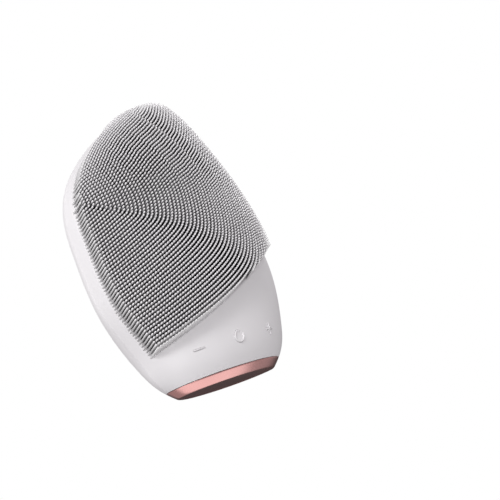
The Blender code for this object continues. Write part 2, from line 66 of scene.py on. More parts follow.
# ---- the body's shape, as in the CAD model ----
STATIONS = (0, 3, 14, 34, 60, 86, 110)
HALF_WIDTH = (23.2, 26.8, 33.2, 40, 40, 32, 8.5)
FRONT_DEPTH = (9, 11.8, 16.4, 18, 17.4, 13.6, 5.5)
BACK_DEPTH = (9, 11.2, 19.2, 19.8, 18.2, 13.8, 3.5)
CENTRE_X = (0, 0.2, 1.4, 1.6, 1.8, 3.4, 15.6)
RIM_Y = (0, 0.1, 0.8, 1.6, 3.0, 4.0, 6.5)
NOSE_STATION = 108.0
DOME_ROUNDNESS = 0.993
SKIN = 1.6
CAP_TOP, SKIN_BOTTOM = 3.0, 3.16
FRONT_GRID, BACK_GRID = (200, 140), (336, 268)
COARSE = 4                              # the skin's inner face has a point for every so many outside
NOSE_ROWS = 0.04                        # share of a skin's rows that close in on the tip

# ---- wave crests on the back ----
CREST_POLE = (-41.5, 101.7)
CREST_CENTRE = (-35.0, 65.0)
CREST_AXES = (67.0, 47.0, 69.0)
CREST_RATIO = 0.82
CREST_COUNT = 6
WAVE_DEPTH = 1.4
OUTER_VALLEY = 0.7                      # width of the valley outside them all, in crest spacings
STEP_WIDTH = 0.12                       # width of the step at each crest, in crest spacings
VALLEY_POWER = 1.5                      # above 1, a valley starts gently and deepens towards the next crest
# where the waves start, and over what stretch they reach full depth
RIM_FADE = (-0.93, 0.4)                 # in half widths from the middle, beside the left rim
TIP_FADE = (7.0, 16.0)                  # below the tip
INNER_FADE = (0.8, 1.2)                 # in crest spacings, out from the innermost crest

# ---- bristles ----
BRISTLE_LENGTH, BRISTLE_TILT = 5.8, 0.29
BRISTLE_PITCH = 1.25
BRISTLE_SUNK = 0.6                      # how far the root goes into the skin
ROOT_RADIUS, TIP_RADIUS = 0.35, 0.31
BRISTLE_SIDES = 8
TIP_FACET = math.radians(48)            # where the round tip has its one ring of points

# ---- the field that the bristles cover ----
FIELD_LEFT, FIELD_RIGHT = -0.955, 0.935  # in half widths from the middle
FIELD_TOP, TOP_ROUNDING = 107.3, 2.2
FIELD_BOTTOM = (26.0, 15.3, 3.55)       # height in the middle, then its slope and bend per half width
FIELD_EDGE = 0.96                       # a row's spacing is measured on the skin up to here, in half widths
LOWEST_ROW, ROW_SLACK = -20.7, 0.4      # number of the straight row along the lower edge
EDGE_LIGHT, EDGE_FADE = 0.8, 0.5        # how far the outer shafts are spared the painted shade, and its loss for each pitch inwards
BOTTOM_FADE = 0.55                      # the same loss for each row up from the lower edge

# ---- the flow of the rows: each whole step of the row number is a row ----
ROW_LEVELS = (-66.7, -12.0)
STRAIGHT_STEP = (0.283, -0.777)         # the straight rows' number per mm of X and of Z
STRAIGHT_TWIST, TWIST_CENTRE = 0.003, (-28.0, 35.0)
UPRIGHT_STEP = 0.61                     # the upright rows' number per mm of X
RIM_CURL, CURL_REACH = 5.6, 8.0         # how much the upright rows turn aside along the left rim
LEAN_BEND, LEAN_MIDDLE = 0.012, 72.0    # they bow about this height
LEAN_RANGE, LEAN_SLOPES = (63.7, 88.0), (0.2, 0.384)  # and run straight below and above these
ROW_CORNER, CORNER_LEAD = (-18.0, 58.0), 1.2  # straight rows turn into upright ones near here
CORNER_ROUNDNESS = (0.15, 0.06, -27.0)  # least roundness, its growth per mm of X, and from which X
ROW_FAN = (-38.0, 74.0)                 # a ray from here crosses each row once at most
RAY_TURNS, RAY_COUNT = (-100, 75), 900
RAY_LENGTH, RAY_STEPS = 150, 1500

# ---- symbols and contacts ----
BUTTON_Z, BUTTON_PITCH = 12.24, 16.84
SYMBOL_HALF, SYMBOL_LINE, SYMBOL_RAISE = 2.1, 0.28, 0.5
SYMBOL_DEPTH = 1.2                      # how far a symbol reaches below the skin's face
CROWN_START = 0.05                      # how far below it a bar starts to round
RING_RADIUS, RING_LINE = 1.95, 0.27
HOLE_MARGIN, HOLE_REACH = 0.1, (-25, -4)
PIN_X, PIN_Z = 4.71, 7.72
PIN_SLOPE = math.radians(38)
PIN_RECESS, RECESS_DEPTH = 2.53, 6.0

# ---- studio, in metres and degrees ----
WORLD_LIGHT, FLAG_LIGHT = 0.48, 0.06
FLAG_DIRECTION = (0.68, 0.68, -0.3)     # the cap's underside mirrors this dark flag to the camera
FLAG_EDGE = (0.75, 0.98)                # cosines of its outer and inner edge
OBJECT_MIDDLE = (0, 0, 0.055)
FLOOR_SIZE, FLOOR_GAP = 4.0, 0.00005
CAMERA_PLACE = (-0.3327, -0.3682, -0.0577)
CAMERA_YAW, CAMERA_PITCH, CAMERA_ROLL = -45.147, -11.238, 23.835
CAMERA_LENS, CAMERA_SENSOR = 101.19, 36.0


# ================= shape functions =================
def spline(xs, ys):
    """Natural cubic spline through the stations; takes arrays."""
    xs, ys = np.array(xs, float), np.array(ys, float)
    count, step = len(xs), np.diff(xs)
    matrix, right = np.eye(count), np.zeros(count)
    for i in range(1, count - 1):
        matrix[i, i - 1:i + 2] = step[i - 1], 2 * (step[i - 1] + step[i]), step[i]
        right[i] = 6 * ((ys[i + 1] - ys[i]) / step[i] - (ys[i] - ys[i - 1]) / step[i - 1])
    bend = np.linalg.solve(matrix, right)

    def value(x):
        x = np.asarray(x, float)
        i = np.clip(np.searchsorted(xs, x) - 1, 0, count - 2)
        a, b, h = xs[i + 1] - x, x - xs[i], step[i]
        cubic = (bend[i] * a ** 3 + bend[i + 1] * b ** 3) / (6 * h)
        return cubic + (ys[i] / h - bend[i] * h / 6) * a + (ys[i + 1] / h - bend[i + 1] * h / 6) * b
    return value


def nose(z):
    """How a size closes in on the tip, like a parabola's."""
    return np.sqrt(np.clip(1 - np.asarray(z, float) / HEIGHT, 0, None))


def nose_spline(values):
    """Spline of a size that closes to nothing, roundly, at the tip."""
    heights = np.array(STATIONS[:-1] + (NOSE_STATION,), float)
    ratio = spline(heights, np.array(values, float) / nose(heights))
    return lambda z: ratio(z) * nose(z)


half_width = nose_spline(HALF_WIDTH)
depth_of = {-1: nose_spline(FRONT_DEPTH), 1: nose_spline(BACK_DEPTH)}
centre_x = spline(STATIONS, CENTRE_X)
rim_y = spline(STATIONS, RIM_Y)


def dome(u):
    """Depth of a section across its width: 1 in the middle, 0 at the rim."""
    edge = math.sqrt(1 - DOME_ROUNDNESS ** 2)
    height = np.sqrt(np.clip(1 - (DOME_ROUNDNESS * u) ** 2, 0, None))
    return np.clip((height - edge) / (1 - edge), 0, None)


def across(x, z):
    """-1 at the left rim, +1 at the right one."""
    return (x - centre_x(z)) / np.maximum(half_width(z), 1e-6)


def surface_y(x, z, side):
    """Y of the plain outer surface: side is -1 in front and 1 at the back."""
    return rim_y(z) + side * depth_of[side](z) * dome(np.clip(across(x, z), -1, 1))


def fade(value, start, width):
    """0 up to the start, rising smoothly to 1 over the width."""
    share = np.clip((value - start) / width, 0, 1)
    return share * share * (3 - 2 * share)


def crest_number(x, z):
    """0 on the outermost crest, 1 on the next one in, negative outside them all."""
    px, pz = CREST_POLE[0] - CREST_CENTRE[0], CREST_POLE[1] - CREST_CENTRE[1]
    dx, dz = x - CREST_POLE[0], z - CREST_POLE[1]
    reach, down, up = CREST_AXES
    scale = {}
    for vertical in (down, up):
        a = (dx / reach) ** 2 + (dz / vertical) ** 2
        b = 2 * (px * dx / reach ** 2 + pz * dz / vertical ** 2)
        c = (px / reach) ** 2 + (pz / vertical) ** 2 - 1
        scale[vertical] = (-b + np.sqrt(b * b - 4 * a * c)) / (2 * np.maximum(a, 1e-9))
    t = np.where(pz + dz * scale[down] < 0, scale[down], scale[up])
    return -np.log(np.maximum(t, 1e-6)) / math.log(CREST_RATIO)


def wave_depth(x, z):
    """How far the valleys between the back's crests are cut in: deepest just outside each crest."""
    number = crest_number(x, z)
    rise = np.where(number < 0, 1 + number / OUTER_VALLEY, number - np.floor(number))
    edges = fade(across(x, z), *RIM_FADE) * fade(HEIGHT - z, *TIP_FADE)
    inner = fade(CREST_COUNT - number, *INNER_FADE)
    valley = np.clip(rise, 0, None) ** VALLEY_POWER * fade(1 - rise, 0, STEP_WIDTH)
    return WAVE_DEPTH * edges * inner * valley


def layer(u, height, side, inset):
    """Points of the shell that lies inset mm inside the outer surface."""
    middle = HEIGHT / 2
    z = middle + (height - middle) / (1 - inset / middle)
    wide, deep = 1 - inset / max(HALF_WIDTH), 1 - inset / max(FRONT_DEPTH)
    x = centre_x(z) + wide * half_width(z) * u
    y = rim_y(z) + side * deep * depth_of[side](z) * dome(u)
    return np.stack([x, y, height + 0 * u], -1)


# ================= mesh helpers =================
def new_object(name, data):
    made = bpy.data.objects.new(name, data)
    bpy.context.scene.collection.objects.link(made)
    return made


def new_mesh(name, points, faces, finish, body="root", sharp=40):
    """A smooth-shaded mesh from points in millimetres; body is None for a cutter or a piece cut later."""
    mesh = bpy.data.meshes.new(name)
    mesh.from_pydata((np.asarray(points, float) * MM).tolist(), [], faces)
    mesh.validate()
    made = new_object(name, mesh)
    tidy_normals(mesh)
    mesh.shade_smooth()
    mesh.set_sharp_from_angle(angle=math.radians(sharp))
    mesh.materials.append(finish)
    if body:
        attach(made, body)
    return made


def add_values(mesh, name, values):
    """A number at each point of a mesh, for its material to read."""
    made = mesh.attributes.new(name, "FLOAT", "POINT")
    made.data.foreach_set("value", np.asarray(values, np.float32))


def tidy_normals(mesh):
    """Merge coincident points and turn the faces outwards."""
    work = bmesh.new()
    work.from_mesh(mesh)
    bmesh.ops.remove_doubles(work, verts=work.verts, dist=2e-6)
    bmesh.ops.recalc_face_normals(work, faces=work.faces)
    work.to_mesh(mesh)
    work.free()


def grid_faces(rows, columns, start=0, closed=False):
    """Quads of a grid of points stored row by row."""
    r, c = np.meshgrid(np.arange(rows - 1), np.arange(columns if closed else columns - 1), indexing="ij")
    a = start + r * columns + c
    b = start + r * columns + (c + 1) % columns
    return np.stack([a, b, b + columns, a + columns], -1).reshape(-1, 4).tolist()


def loft(name, rings, finish, body="root", sharp=40):
    """Bridge rings of equal length in order and cap both ends."""
    rings = np.asarray(rings, float)
    count, size = rings.shape[:2]
    faces = grid_faces(count, size, closed=True)
    faces.append(list(range(size)))
    faces.append(list(range((count - 1) * size, count * size)))
    return new_mesh(name, rings.reshape(-1, 3), faces, finish, body, sharp)


def turned_rings(profile, base, direction, sides=48):
    """Turn a profile of (radius, distance) pairs about a line."""
    axis = Vector(direction).normalized()
    first = axis.orthogonal().normalized()
    second = axis.cross(first)
    angle = np.linspace(0, 2 * math.pi, sides, endpoint=False)
    unit_ring = np.outer(np.cos(angle), first) + np.outer(np.sin(angle), second)
    return [np.array(base) + np.array(axis) * distance + radius * unit_ring for radius, distance in profile]


def cut(target, tool):
    """Cut a hole and keep the result as the mesh."""
    step = target.modifiers.new("cut", "BOOLEAN")
    step.operation = "DIFFERENCE"
    step.solver = "EXACT"
    step.object = tool
    bpy.context.view_layer.update()
    result = bpy.data.meshes.new_from_object(target.evaluated_get(bpy.context.evaluated_depsgraph_get()))
    target.modifiers.clear()
    target.data = result
    bpy.data.objects.remove(tool)


# ================= materials =================
GRAIN_FINENESS = 12                     # bump grains for each patch of mottling


def noise_output(made, scale, detail):
    """Noise fixed to the object, as a number from 0 to 1."""
    nodes, links = made.node_tree.nodes, made.node_tree.links
    place = nodes.new("ShaderNodeTexCoord")
    noise = nodes.new("ShaderNodeTexNoise")
    noise.inputs["Scale"].default_value = scale
    noise.inputs["Detail"].default_value = detail
    links.new(place.outputs["Object"], noise.inputs["Vector"])
    return noise.outputs["Fac"]


def shader_material(name, colour, roughness, metallic=0.0, variation=0.03, scale=120.0, bump=0.05,
                    rough_spread=0.06, distance=0.0001, **extra):
    """Principled material with fine mottling in colour and roughness, and a fine bump."""
    made = bpy.data.materials.new(name)
    made.use_nodes = True
    nodes, links = made.node_tree.nodes, made.node_tree.links
    shader = nodes["Principled BSDF"]
    shader.inputs["Metallic"].default_value = metallic
    for key, value in extra.items():
        shader.inputs[key.replace("_", " ").title()].default_value = value
    mottle = noise_output(made, scale, 5)
    ramp = nodes.new("ShaderNodeValToRGB")
    for stop, place, change in zip(ramp.color_ramp.elements, (0.35, 0.65), (-variation, variation)):
        stop.position = place
        stop.color = (*[min(1, c * (1 + change)) for c in colour], 1)
    links.new(mottle, ramp.inputs["Fac"])
    links.new(ramp.outputs["Color"], shader.inputs["Base Color"])
    spread = nodes.new("ShaderNodeMapRange")
    spread.inputs["To Min"].default_value = roughness - rough_spread
    spread.inputs["To Max"].default_value = roughness + rough_spread
    links.new(mottle, spread.inputs["Value"])
    links.new(spread.outputs["Result"], shader.inputs["Roughness"])
    if bump:
        relief = nodes.new("ShaderNodeBump")
        relief.inputs["Strength"].default_value = bump
        relief.inputs["Distance"].default_value = distance
        links.new(noise_output(made, scale * GRAIN_FINENESS, 3), relief.inputs["Height"])
        links.new(relief.outputs["Normal"], shader.inputs["Normal"])
    return made


def attribute(nodes, name):
    """A number that the mesh holds at each point."""
    reader = nodes.new("ShaderNodeAttribute")
    reader.attribute_name = name
    return reader.outputs["Fac"]


def mixed(made, factor, other):
    """Mix the material's base colour with another colour, by an output of its node tree."""
    nodes, links = made.node_tree.nodes, made.node_tree.links
    base = nodes["Principled BSDF"].inputs["Base Color"]
    mix = nodes.new("ShaderNodeMix")
    mix.data_type = "RGBA"
    links.new(factor, mix.inputs["Factor"])
    links.new(base.links[0].from_socket, mix.inputs["A"])
    if isinstance(other, bpy.types.NodeSocket):
        links.new(other, mix.inputs["B"])
    else:
        mix.inputs["B"].default_value = (*other, 1)
    links.new(mix.outputs["Result"], base)


def skin_material():
    return shader_material("silicone_skin", (0.83, 0.818, 0.832), 0.42, variation=0.012, scale=60,
                           bump=0.06, distance=0.00005)


def cap_material():
    return shader_material("rose_gold_coating", (0.60, 0.32, 0.30), 0.25, 0.95, variation=0.03, scale=90,
                           bump=0.04, distance=0.00003, coat_weight=0.2, coat_roughness=0.12)


def contact_material():
    return shader_material("contact_plating", (0.24, 0.23, 0.24), 0.2, 1.0, variation=0.08, scale=400,
                           bump=0.03, distance=0.00003)


def seal_material():
    return shader_material("seal_rubber", (0.5, 0.49, 0.5), 0.55, variation=0.05, scale=300, bump=0.1)


def bristle_material():
    """Silicone with painted shade: white at the tips and painted darker down the shafts, where neighbours
    shade them.
    """
    made = shader_material("silicone_bristles_painted_shade", (0.86, 0.855, 0.86), 0.42, variation=0.012, scale=60, bump=0)
    nodes, links = made.node_tree.nodes, made.node_tree.links
    # painted shade: near-black at the root rising to white at the tip, standing in for the shade that
    # neighbouring bristles cast on the shafts
    ramp = nodes.new("ShaderNodeValToRGB")
    stops = ramp.color_ramp.elements
    stops[0].position, stops[0].color = 0.3, (0.012, 0.011, 0.013, 1)
    stops[1].position, stops[1].color = 0.97, (0.95, 0.945, 0.95, 1)
    for place, grey in ((0.6, 0.08), (0.82, 0.32), (0.9, 0.93)):
        stops.new(place).color = (grey, grey * 0.98, grey * 1.01, 1)
    links.new(attribute(nodes, "along"), ramp.inputs["Fac"])
    # the outer bristles are spared this painted shade, so their shafts stay light
    inner = nodes.new("ShaderNodeMath")
    inner.operation = "SUBTRACT"
    inner.inputs[0].default_value = 1
    links.new(attribute(nodes, "outer"), inner.inputs[1])
    mixed(made, inner.outputs["Value"], ramp.outputs["Color"])
    return made


def painted_shade_silicone(silicone):
    """The skin's silicone with painted shade, dark where the bristles stand on it."""
    made = silicone.copy()
    made.name = "silicone_painted_shade_under_bristles"
    # painted shade: near-black mixed in where the bristles cover the skin, for the shade that they cast on
    # it
    mixed(made, attribute(made.node_tree.nodes, "under"), (0.03, 0.029, 0.031))
    return made


# metallic, roughness and bump of each class of finish in the record
CLASS_LOOKS = {
    "rubber": (0.0, 0.6, 0.15), "matte_plastic": (0.0, 0.48, 0.12), "gloss_plastic": (0.0, 0.2, 0.03),
    "painted_metal": (1.0, 0.28, 0.03), "brushed_steel": (1.0, 0.3, 0.1), "chrome": (1.0, 0.15, 0.02),
    "brass": (1.0, 0.3, 0.05), "aluminium": (1.0, 0.35, 0.1), "fabric": (0.0, 0.9, 0.4),
}


def cad_material(slot, colour, look):
    """A material for a carried-over CAD node, by its slot's class."""
    metallic, roughness, bump = look
    return shader_material("cad_" + slot, colour, roughness, metallic, variation=0.06, scale=260, bump=bump)


def finish_cad_nodes():
    """Give every CAD node the procedural material of its slot."""
    record = frame["record"]
    slots = {m["slot"]: m for m in record["materials"]}
    made = {}
    for entry in record["subparts"]:
        slot = entry["material_slot"]
        if slot not in made:
            info = slots[slot]
            made[slot] = cad_material(slot, info["base_color"][:3], CLASS_LOOKS[info["class"]])
        node = frame["nodes"][entry["node"]]
        node.data.materials.clear()
        node.data.materials.append(made[slot])


# ================= skins =================
def skin_layer(side, rows, columns, inset):
    """A grid of points of the skin, from its lower edge to the tip."""
    u = np.sin(math.pi * (np.arange(columns + 1) / columns - 0.5))
    step = np.arange(rows + 1) / rows
    share = 0.5 * np.sin(math.pi / 2 * step) + 0.5 * step
    share = np.where(step > 1 - NOSE_ROWS, 1 - (1 - share) * (1 - step) / NOSE_ROWS, share)
    height = SKIN_BOTTOM + (HEIGHT - inset - SKIN_BOTTOM) * share
    return layer(*np.meshgrid(u, height), side, inset)


def half_skin(name, side, rows, columns, finish, relief=None):
    """Half of the silicone skin, a closed shell with a coarser inner face: the halves meet at the crease."""
    outer = skin_layer(side, rows, columns, 0)
    if relief:
        outer[..., 1] -= side * relief(outer[..., 0], outer[..., 2])
    inner = skin_layer(side, rows, columns, SKIN)[::COARSE, ::COARSE]
    first, span, inner_span = outer.shape[0] * outer.shape[1], columns + 1, columns // COARSE + 1
    faces = grid_faces(rows + 1, span) + grid_faces(rows // COARSE + 1, inner_span, first)
    for c in range(columns // COARSE):
        edge = [c * COARSE + i for i in range(COARSE + 1)]
        faces.append(edge + [first + c + 1, first + c])
    for column, inner_column in ((0, 0), (columns, inner_span - 1)):
        for r in range(rows // COARSE):
            edge = [(r * COARSE + i) * span + column for i in range(COARSE + 1)]
            low = first + r * inner_span + inner_column
            faces.append(edge + [low + inner_span, low])
    points = np.concatenate([outer.reshape(-1, 3), inner.reshape(-1, 3)])
    return new_mesh(name, points, faces, finish, None, sharp=60)


def cover_skin(skin, node):
    """Shade a skin that has its holes, and let it take the place of its CAD node."""
    skin.data.shade_smooth()
    skin.data.set_sharp_from_angle(angle=math.radians(45))
    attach(skin, "root")
    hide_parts(node)


def make_front_skin(silicone):
    """The smooth half, with a hole for each symbol."""
    front = half_skin("front_silicone", -1, *FRONT_GRID, silicone)
    for label, outline in symbol_outlines(HOLE_MARGIN).items():
        rings = [[(button_x(label) + x, y, BUTTON_Z + z) for x, z in outline] for y in HOLE_REACH]
        cut(front, loft(label + "_hole", rings, silicone, None))
    # painted shade on the skin under the bristles, stored at each point for its material
    points = np.array([v.co for v in front.data.vertices]) / MM
    add_values(front.data, "under", bristle_shade_mask(points[:, 0], points[:, 2]))
    front.data.materials.clear()
    front.data.materials.append(painted_shade_silicone(silicone))
    cover_skin(front, "front_skin")


def make_back_skin(silicone):
    """The half with the waves, with a round recess for each charging pin."""
    back = half_skin("back_silicone", 1, *BACK_GRID, silicone, wave_depth)
    for side in (-1, 1):
        base, out = pin_frame(side)
        rings = turned_rings([(PIN_RECESS, -RECESS_DEPTH), (PIN_RECESS, 4)], base, out)
        cut(back, loft("recess", rings, silicone, None))
    cover_skin(back, "back_skin")


# ================= bristles =================
def on_body(z, below_tip=0.1):
    """Heights kept to where the body has a width."""
    return np.clip(z, 0, HEIGHT - below_tip)


def straight_rows(x, z):
    """Row number of the straight rows, parallel to the field's lower edge and turning slightly higher up."""
    per_x, per_z = STRAIGHT_STEP
    x0, z0 = TWIST_CENTRE
    return per_x * x + per_z * z + STRAIGHT_TWIST * (x - x0) * (z - z0)


def upright_rows(x, z):
    """Row number of the rows that stand up and lean back towards the shoulder."""
    level = on_body(z, 0.5)
    inside = np.maximum(x - (centre_x(level) - half_width(level)), -3)
    (below, above), (lower_slope, upper_slope) = LEAN_RANGE, LEAN_SLOPES
    lean = LEAN_BEND * (np.clip(z, below, above) - LEAN_MIDDLE) ** 2
    lean = lean + lower_slope * np.maximum(below - z, 0) + upper_slope * np.maximum(z - above, 0)
    return UPRIGHT_STEP * x - RIM_CURL * np.exp(-inside / CURL_REACH) + lean


def row_number(x, z):
    """The two families joined, with a corner that is sharp on the left and rounder to the right."""
    shift = straight_rows(*ROW_CORNER) - upright_rows(*ROW_CORNER) - CORNER_LEAD
    straight, upright = straight_rows(x, z), upright_rows(x, z) + shift
    least, growth, left = CORNER_ROUNDNESS
    roundness = np.maximum(least, growth * (x - left))
    return (straight + upright) / 2 + np.sqrt(((straight - upright) / 2) ** 2 + roundness ** 2)


def bristle_shade_mask(x, z):
    """How much painted shade the skin gets: 1 where the bristles cover it, 0 outside."""
    u = across(x, z)
    sides = fade(u, FIELD_LEFT, 0.08) * fade(FIELD_RIGHT - u, 0, 0.08)
    return sides * fade(LOWEST_ROW + 0.3 - straight_rows(x, z), 0, 1.5) * fade(FIELD_TOP - z, 0, 3)


def field_bottom(u):
    middle, slope, bend = FIELD_BOTTOM
    return middle + slope * u + bend * u * u


def field_top(u):
    return FIELD_TOP - TOP_ROUNDING * u * u


def trace_row(level, number, angle, reach):
    """Points of one row, from the left rim round to the top, where it crosses the rays from ROW_FAN."""
    found = (number < level).sum(1)
    after = np.clip(found, 1, len(reach) - 1)
    ray = np.arange(len(angle))
    low, high = number[ray, after - 1], number[ray, after]
    share = (level - low) / np.maximum(high - low, 1e-9)
    distance = reach[after - 1] + share * (reach[1] - reach[0])
    x, z = ROW_FAN[0] + np.cos(angle) * distance, ROW_FAN[1] + np.sin(angle) * distance
    u = across(x, on_body(z))
    inside = (found > 0) & (found < len(reach)) & (u > FIELD_LEFT) & (z < FIELD_TOP) & (z > 0)
    if inside.sum() < 3:
        return None
    kept = slice(np.argmax(inside), len(inside) - np.argmax(inside[::-1]))
    return x[kept], z[kept]


def space_row(x, z):
    """Equally spaced places along a row, measured on the skin, that lie in the field."""
    level = on_body(z)
    y = rim_y(level) - depth_of[-1](level) * dome(np.clip(across(x, level), -FIELD_EDGE, FIELD_EDGE))
    steps = np.sqrt(np.diff(x) ** 2 + np.diff(y) ** 2 + np.diff(z) ** 2)
    length = np.concatenate([[0], np.cumsum(steps)])
    count = max(1, int(round(length[-1] / BRISTLE_PITCH)))
    places = (np.arange(count) + 0.5) / count * length[-1]
    x, z = np.interp(places, length, x), np.interp(places, length, z)
    u = across(x, on_body(z))
    keep = (u < FIELD_RIGHT) & (u > FIELD_LEFT) & (z < field_top(u)) & (z >= field_bottom(u))
    keep &= straight_rows(x, z) < LOWEST_ROW + ROW_SLACK
    return np.stack([x, z], 1)[keep]


def bristle_roots():
    """Places of the bristles in X and Z."""
    angle = np.radians(np.linspace(*RAY_TURNS, RAY_COUNT))
    reach = np.linspace(0, RAY_LENGTH, RAY_STEPS)
    x = ROW_FAN[0] + np.cos(angle)[:, None] * reach
    z = ROW_FAN[1] + np.sin(angle)[:, None] * reach
    number = np.maximum.accumulate(row_number(x, z), axis=1)
    rows = [trace_row(level, number, angle, reach) for level in np.arange(*ROW_LEVELS)]
    return np.concatenate([space_row(*row) for row in rows if row])


def outer_share(x, z):
    """Near 1 for the bristles along the field's edges, whose whole shafts catch the light and are spared the
    painted shade; 0 inside.
    """
    u = across(x, z)
    gaps = [field_top(u) - z]
    for edge in (FIELD_LEFT, FIELD_RIGHT):
        sideways = (u - edge) * half_width(z)
        gaps.append(np.hypot(sideways, depth_of[-1](z) * (dome(u) - dome(edge))))
    from_rim = np.clip(1 - EDGE_FADE * np.min(gaps, 0) / BRISTLE_PITCH, 0, EDGE_LIGHT)
    from_bottom = np.clip(1 - BOTTOM_FADE * (LOWEST_ROW - straight_rows(x, z)), 0, 1)
    return np.maximum(from_rim, from_bottom)


def one_bristle(along):
    """Points and faces of a slightly tapered bristle with a round tip, its root at the origin."""
    first = np.array([1.0, 0, 0])
    second = np.cross(along, first)
    angle = np.linspace(0, 2 * math.pi, BRISTLE_SIDES, endpoint=False)
    ring = np.outer(np.cos(angle), first) + np.outer(np.sin(angle), second)
    shoulder = BRISTLE_LENGTH - TIP_RADIUS
    profile = [(ROOT_RADIUS, -BRISTLE_SUNK), (TIP_RADIUS, shoulder),
               (TIP_RADIUS * math.cos(TIP_FACET), shoulder + TIP_RADIUS * math.sin(TIP_FACET))]
    rings = [along * distance + radius * ring for radius, distance in profile]
    points = np.concatenate(rings + [[along * BRISTLE_LENGTH]])
    sides = grid_faces(len(profile), BRISTLE_SIDES, closed=True)
    last, apex = (len(profile) - 1) * BRISTLE_SIDES, len(points) - 1
    tip = [[last + i, last + (i + 1) % BRISTLE_SIDES, apex] for i in range(BRISTLE_SIDES)]
    root = [list(range(BRISTLE_SIDES))[::-1]]
    return points, (sides, tip, root)


def repeated(points, kinds, places):
    """Copies of a shape at every place; each kind holds faces with the same number of corners."""
    everywhere = (places[:, None, :] + points[None]).reshape(-1, 3)
    shift = np.arange(len(places))[:, None, None] * len(points)
    faces = []
    for kind in map(np.array, kinds):
        faces += (kind[None] + shift).reshape(-1, kind.shape[1]).tolist()
    return everywhere, faces


def make_bristles(finish):
    """All the bristles as one mesh; they are parallel, as they come out of one mould."""
    x, z = bristle_roots().T
    base = np.stack([x, surface_y(x, z, -1), z], 1)
    along = np.array([0, -math.cos(BRISTLE_TILT), math.sin(BRISTLE_TILT)])
    template, kinds = one_bristle(along)
    points, faces = repeated(template, kinds, base)
    mesh = bpy.data.meshes.new("bristles")
    mesh.from_pydata((points * MM).tolist(), [], faces)
    made = new_object("bristles", mesh)
    mesh.shade_smooth()
    # for the bristle material's painted shade: each point's place along its shaft, and how far each bristle
    # is spared that shade
    share = np.clip((template @ along) / BRISTLE_LENGTH, 0, 1)
    add_values(mesh, "along", np.tile(share, len(base)))
    add_values(mesh, "outer", np.repeat(outer_share(x, z), len(template)))
    mesh.materials.append(finish)
    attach(made, "root")
    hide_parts("bristle_field")


# ================= symbols =================
def button_x(label):
    """X of a symbol's middle."""
    return {"minus": -BUTTON_PITCH, "power": 0.0, "plus": BUTTON_PITCH}[label]


def capsule(half_length, half_line, steps=8):
    """A bar with round ends."""
    straight = half_length - half_line
    points = []
    for end in (0, math.pi):
        for i in range(steps + 1):
            angle = end - math.pi / 2 + math.pi * i / steps
            middle = straight if end == 0 else -straight
            points.append((middle + half_line * math.cos(angle), half_line * math.sin(angle)))
    return points


def cross(half_length, half_line):
    """A plus sign with rounded ends."""
    arm = [p for p in capsule(half_length, half_line) if p[0] > 0]
    points = []
    for turn in range(4):
        for x, z in arm + [(half_line, half_line)]:
            for _ in range(turn):
                x, z = -z, x
            points.append((x, z))
    return points


def circle(radius, sides=64):
    angles = [2 * math.pi * i / sides for i in range(sides)]
    return [(radius * math.cos(a), radius * math.sin(a)) for a in angles]


def symbol_outlines(margin):
    """The outline of each symbol's hole in the skin."""
    half, line = SYMBOL_HALF + margin, SYMBOL_LINE + margin
    return {"minus": capsule(half, line), "power": circle(RING_RADIUS + RING_LINE + margin),
            "plus": cross(half, line)}


def on_surface(outline, x0, offset):
    """An outline laid on the front, offset mm inwards."""
    flat = np.array(outline, float)
    x, z = x0 + flat[:, 0], BUTTON_Z + flat[:, 1]
    return np.stack([x, surface_y(x, z, -1) + offset, z], 1)


def bar_rings(outline, x0):
    """A symbol of rounded bars, from its foot under the skin to its crown."""
    rings = [on_surface(outline(SYMBOL_HALF, SYMBOL_LINE), x0, SYMBOL_DEPTH)]
    for degrees in (0, 25, 50, 72):
        angle = math.radians(degrees)
        line = SYMBOL_LINE * math.cos(angle)
        rise = CROWN_START - (SYMBOL_RAISE + CROWN_START) * math.sin(angle)
        rings.append(on_surface(outline(SYMBOL_HALF - SYMBOL_LINE + line, line), x0, rise))
    return rings


def disc_rings():
    """A disc flush with the skin, with a raised ring round its edge."""
    rings = [on_surface(circle(r), 0.0, 0.0) for r in (0.25, 0.7, 1.2, RING_RADIUS - RING_LINE - 0.04)]
    for degrees in (180, 150, 120, 90, 60, 30, 0):
        angle = math.radians(degrees)
        outline = circle(RING_RADIUS + RING_LINE * math.cos(angle))
        rings.append(on_surface(outline, 0.0, -SYMBOL_RAISE * math.sin(angle)))
    rings.append(on_surface(circle(RING_RADIUS + RING_LINE), 0.0, SYMBOL_DEPTH))
    return rings


def make_symbols(silicone):
    """The three raised symbols, each riding on its key."""
    symbols = {"minus": (bar_rings(capsule, button_x("minus")), 60),
               "plus": (bar_rings(cross, button_x("plus")), 60),
               "power": (disc_rings(), 75)}
    for label, (rings, sharp) in symbols.items():
        piece = loft(label + "_symbol", rings, silicone, label + "_key", sharp)
        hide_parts(label + "_button")


# ================= end cap and contacts =================
def lens(z, scale, sides=240):
    """A level section of the body."""
    angle = 2 * math.pi * np.arange(sides) / sides
    u = np.cos(angle)
    depth = np.where(np.sin(angle) > 0, depth_of[1](z), -depth_of[-1](z)) * dome(u)
    return np.stack([centre_x(z) + scale * half_width(z) * u, rim_y(z) + scale * depth, 0 * u + z], 1)


